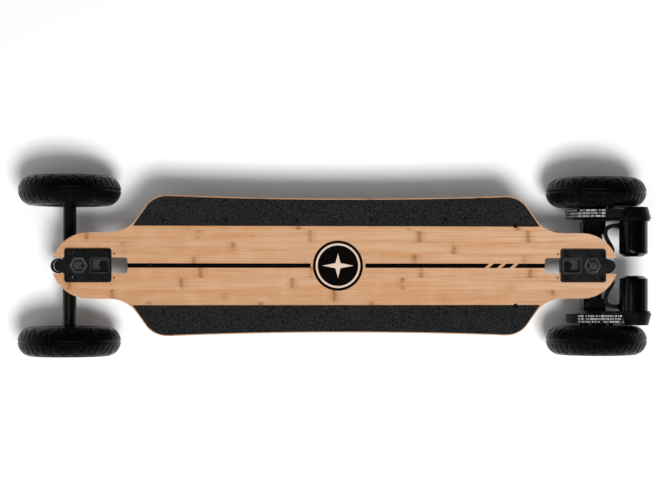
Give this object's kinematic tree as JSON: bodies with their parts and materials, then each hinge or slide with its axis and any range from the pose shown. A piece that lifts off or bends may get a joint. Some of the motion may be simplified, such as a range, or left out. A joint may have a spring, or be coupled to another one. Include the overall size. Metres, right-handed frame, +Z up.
{
  "type": "electric skateboard",
  "caption": "Electric skateboard: bamboo deck over sealed battery and controller cases, double-pivot sprung trucks, air tyres and a belt drive at each rear wheel.",
  "frame": {"origin": "on the ground, midway between the two axles, on the board's centre line", "axes": "+X forward along the deck, +Y to the rider's left, +Z up"},
  "size_m": [1.1062, 0.315, 0.178],
  "materials": {
    "bamboo": "satin varnish",
    "grip_tape": "gritty matte",
    "tyre_rubber": "matte",
    "hub_plastic": "satin",
    "bearing_steel": "ground",
    "urethane": "satin",
    "seal_rubber": "matte",
    "black_steel": "black oxide",
    "axle_steel": "zinc plated",
    "black_casting": "satin powder coat",
    "drive_plastic": "satin",
    "steel": "machined",
    "belt_rubber": "matte",
    "motor_black": "gloss anodised",
    "lead_jacket": "satin sleeve",
    "case_plastic": "fine texture",
    "cell_wrap": "shrink wrap",
    "circuit_board": "solder mask"
  },
  "bodies": {
    "root": {"deck": "bamboo", "grip_left": "grip_tape", "grip_right": "grip_tape", "front_baseplate": "black_casting", "rear_baseplate": "black_casting", "truck_bolts": "black_steel", "truck_nuts": "black_steel", "base_kingpins": "black_steel", "base_bushings": "urethane", "base_pivot_cups": "urethane", "motor_leads": "lead_jacket", "charge_socket": "case_plastic", "battery_case": "case_plastic", "controller_case": "case_plastic", "case_gaskets": "seal_rubber", "case_bolts": "black_steel", "battery_cells": "cell_wrap", "battery_board": "circuit_board", "controller_board": "circuit_board"},
    "front_link": {"front_link": "black_casting", "front_hanger_kingpin": "black_steel", "front_hanger_bushings": "urethane", "front_link_cup": "urethane"},
    "front_hanger": {"front_hanger": "black_casting", "front_axle": "axle_steel", "front_axle_hardware": "axle_steel"},
    "front_left_wheel": {"front_left_tyre": "tyre_rubber", "front_left_hub": "hub_plastic", "front_left_bearings": "bearing_steel"},
    "front_right_wheel": {"front_right_tyre": "tyre_rubber", "front_right_hub": "hub_plastic", "front_right_bearings": "bearing_steel"},
    "rear_link": {"rear_link": "black_casting", "rear_hanger_kingpin": "black_steel", "rear_hanger_bushings": "urethane", "rear_link_cup": "urethane"},
    "rear_hanger": {"rear_hanger": "black_casting", "rear_axle": "axle_steel", "rear_axle_hardware": "axle_steel", "drive_belts": "belt_rubber", "motor_cans": "motor_black", "motor_mounts": "black_casting", "pulley_covers": "drive_plastic", "mount_screws": "black_steel"},
    "rear_left_wheel": {"rear_left_tyre": "tyre_rubber", "rear_left_hub": "hub_plastic", "rear_left_bearings": "bearing_steel", "left_drive_gear": "drive_plastic"},
    "rear_right_wheel": {"rear_right_tyre": "tyre_rubber", "rear_right_hub": "hub_plastic", "rear_right_bearings": "bearing_steel", "right_drive_gear": "drive_plastic"},
    "left_motor_shaft": {"left_motor_rotor": "steel", "left_motor_pulley": "steel"},
    "right_motor_shaft": {"right_motor_rotor": "steel", "right_motor_pulley": "steel"},
    "power_button": {"power_button": "seal_rubber"},
    "charge_cap": {"charge_cap": "seal_rubber"}
  },
  "joints": [
    {"name": "front_base_pivot", "type": "hinge", "parent": "root", "child": "front_link", "pos_m": [0.407, 0, 0.115], "axis": [0.9455, 0, 0.3256], "range_deg": [-9, 9], "stiffness_Nm_per_rad": 150, "deforming": ["base_bushings"]},
    {"name": "front_hanger_pivot", "type": "hinge", "parent": "front_link", "child": "front_hanger", "pos_m": [0.483, 0, 0.097], "axis": [0.9063, 0, 0.4226], "range_deg": [-9, 9], "stiffness_Nm_per_rad": 150, "deforming": ["front_hanger_bushings"]},
    {"name": "front_left_wheel_spin", "type": "hinge", "parent": "front_hanger", "child": "front_left_wheel", "pos_m": [0.464, 0.131, 0.089], "axis": [0, 1, 0], "continuous": true},
    {"name": "front_right_wheel_spin", "type": "hinge", "parent": "front_hanger", "child": "front_right_wheel", "pos_m": [0.464, -0.131, 0.089], "axis": [0, 1, 0], "continuous": true},
    {"name": "rear_base_pivot", "type": "hinge", "parent": "root", "child": "rear_link", "pos_m": [-0.407, 0, 0.115], "axis": [-0.9455, 0, 0.3256], "range_deg": [-9, 9], "stiffness_Nm_per_rad": 150, "deforming": ["base_bushings", "motor_leads"]},
    {"name": "rear_hanger_pivot", "type": "hinge", "parent": "rear_link", "child": "rear_hanger", "pos_m": [-0.483, 0, 0.097], "axis": [-0.9063, 0, 0.4226], "range_deg": [-9, 9], "stiffness_Nm_per_rad": 150, "deforming": ["rear_hanger_bushings", "motor_leads"]},
    {"name": "rear_left_wheel_spin", "type": "hinge", "parent": "rear_hanger", "child": "rear_left_wheel", "pos_m": [-0.464, 0.131, 0.089], "axis": [0, 1, 0], "continuous": true},
    {"name": "rear_right_wheel_spin", "type": "hinge", "parent": "rear_hanger", "child": "rear_right_wheel", "pos_m": [-0.464, -0.131, 0.089], "axis": [0, 1, 0], "continuous": true},
    {"name": "left_motor_spin", "type": "hinge", "parent": "rear_hanger", "child": "left_motor_shaft", "pos_m": [-0.5222, 0.0465, 0.1268], "axis": [0, 1, 0], "continuous": true},
    {"name": "right_motor_spin", "type": "hinge", "parent": "rear_hanger", "child": "right_motor_shaft", "pos_m": [-0.5222, -0.0465, 0.1268], "axis": [0, 1, 0], "continuous": true},
    {"name": "power_button_press", "type": "slide", "parent": "root", "child": "power_button", "axis": [0, -1, 0], "range_m": [0, 0.0008], "stiffness_N_per_m": 800},
    {"name": "charge_cap_hinge", "type": "hinge", "parent": "root", "child": "charge_cap", "pos_m": [0.27, 0.0932, 0.121], "axis": [0, 0, -1], "range_deg": [0, 150]}
  ],
  "couplings": [
    {"joint": "left_motor_spin", "follows": "rear_left_wheel_spin", "ratio": 4.4},
    {"joint": "right_motor_spin", "follows": "rear_right_wheel_spin", "ratio": 4.4}
  ]
}
